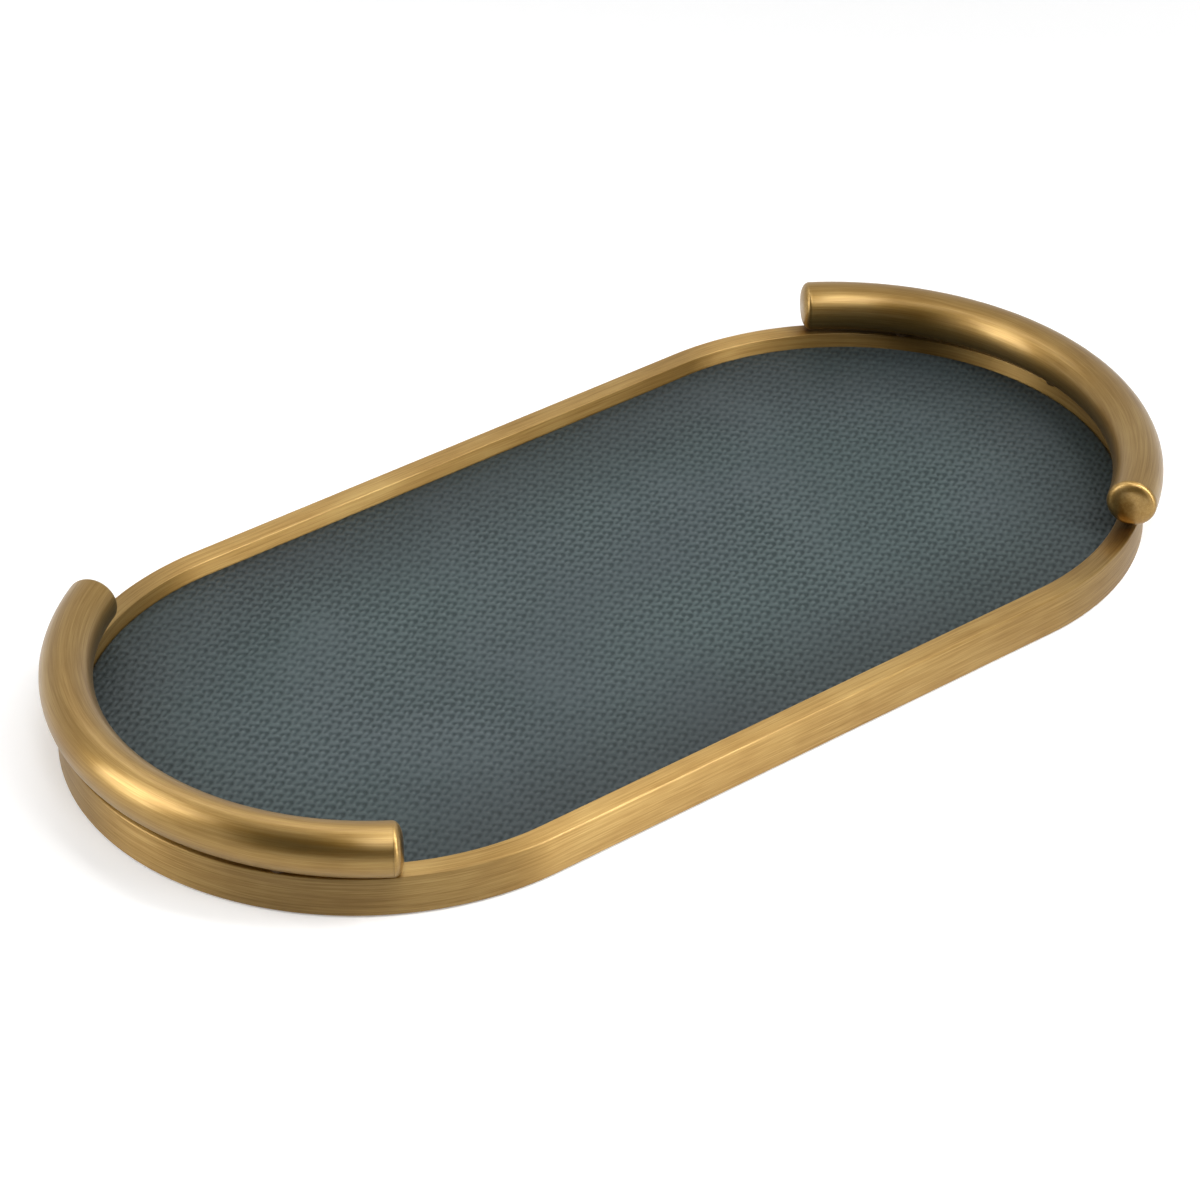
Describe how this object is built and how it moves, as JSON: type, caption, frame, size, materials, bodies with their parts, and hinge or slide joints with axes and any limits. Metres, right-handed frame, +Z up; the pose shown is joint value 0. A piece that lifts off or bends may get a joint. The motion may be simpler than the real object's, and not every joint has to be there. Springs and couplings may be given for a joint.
{
  "type": "leather tray",
  "caption": "Pill-shaped serving tray: embossed leather deck sunk in a brass-finished rim, with a bent tube handle over each round end.",
  "frame": {"origin": "on the table under the middle of the tray, at the underside of the lining", "axes": "+X along the tray towards one handle, +Y across the tray, +Z up"},
  "size_m": [0.4158, 0.2, 0.0327],
  "materials": {
    "brass": "satin brushed antique brass",
    "leather": "slate grey-green, embossed with a close woven grain",
    "board": "plain fibreboard",
    "lining": "dark felt",
    "steel": "plain screws and threaded inserts"
  },
  "bodies": {
    "root": {"rim_frame": "brass", "deck_board": "board", "deck_leather": "leather", "underside_lining": "lining", "board_screw_1": "steel", "board_screw_2": "steel", "board_screw_3": "steel", "board_screw_4": "steel", "board_screw_5": "steel", "board_screw_6": "steel", "board_screw_7": "steel", "board_screw_8": "steel", "handle_right": "brass", "handle_right_cap_clockwise": "brass", "handle_right_cap_anticlockwise": "brass", "handle_right_spacer_1": "brass", "handle_right_spacer_2": "brass", "handle_right_spacer_3": "brass", "handle_right_insert_1": "steel", "handle_right_insert_2": "steel", "handle_right_insert_3": "steel", "handle_right_screw_1": "steel", "handle_right_screw_2": "steel", "handle_right_screw_3": "steel", "handle_left": "brass", "handle_left_cap_clockwise": "brass", "handle_left_cap_anticlockwise": "brass", "handle_left_spacer_1": "brass", "handle_left_spacer_2": "brass", "handle_left_spacer_3": "brass", "handle_left_insert_1": "steel", "handle_left_insert_2": "steel", "handle_left_insert_3": "steel", "handle_left_screw_1": "steel", "handle_left_screw_2": "steel", "handle_left_screw_3": "steel"}
  },
  "joints": []
}
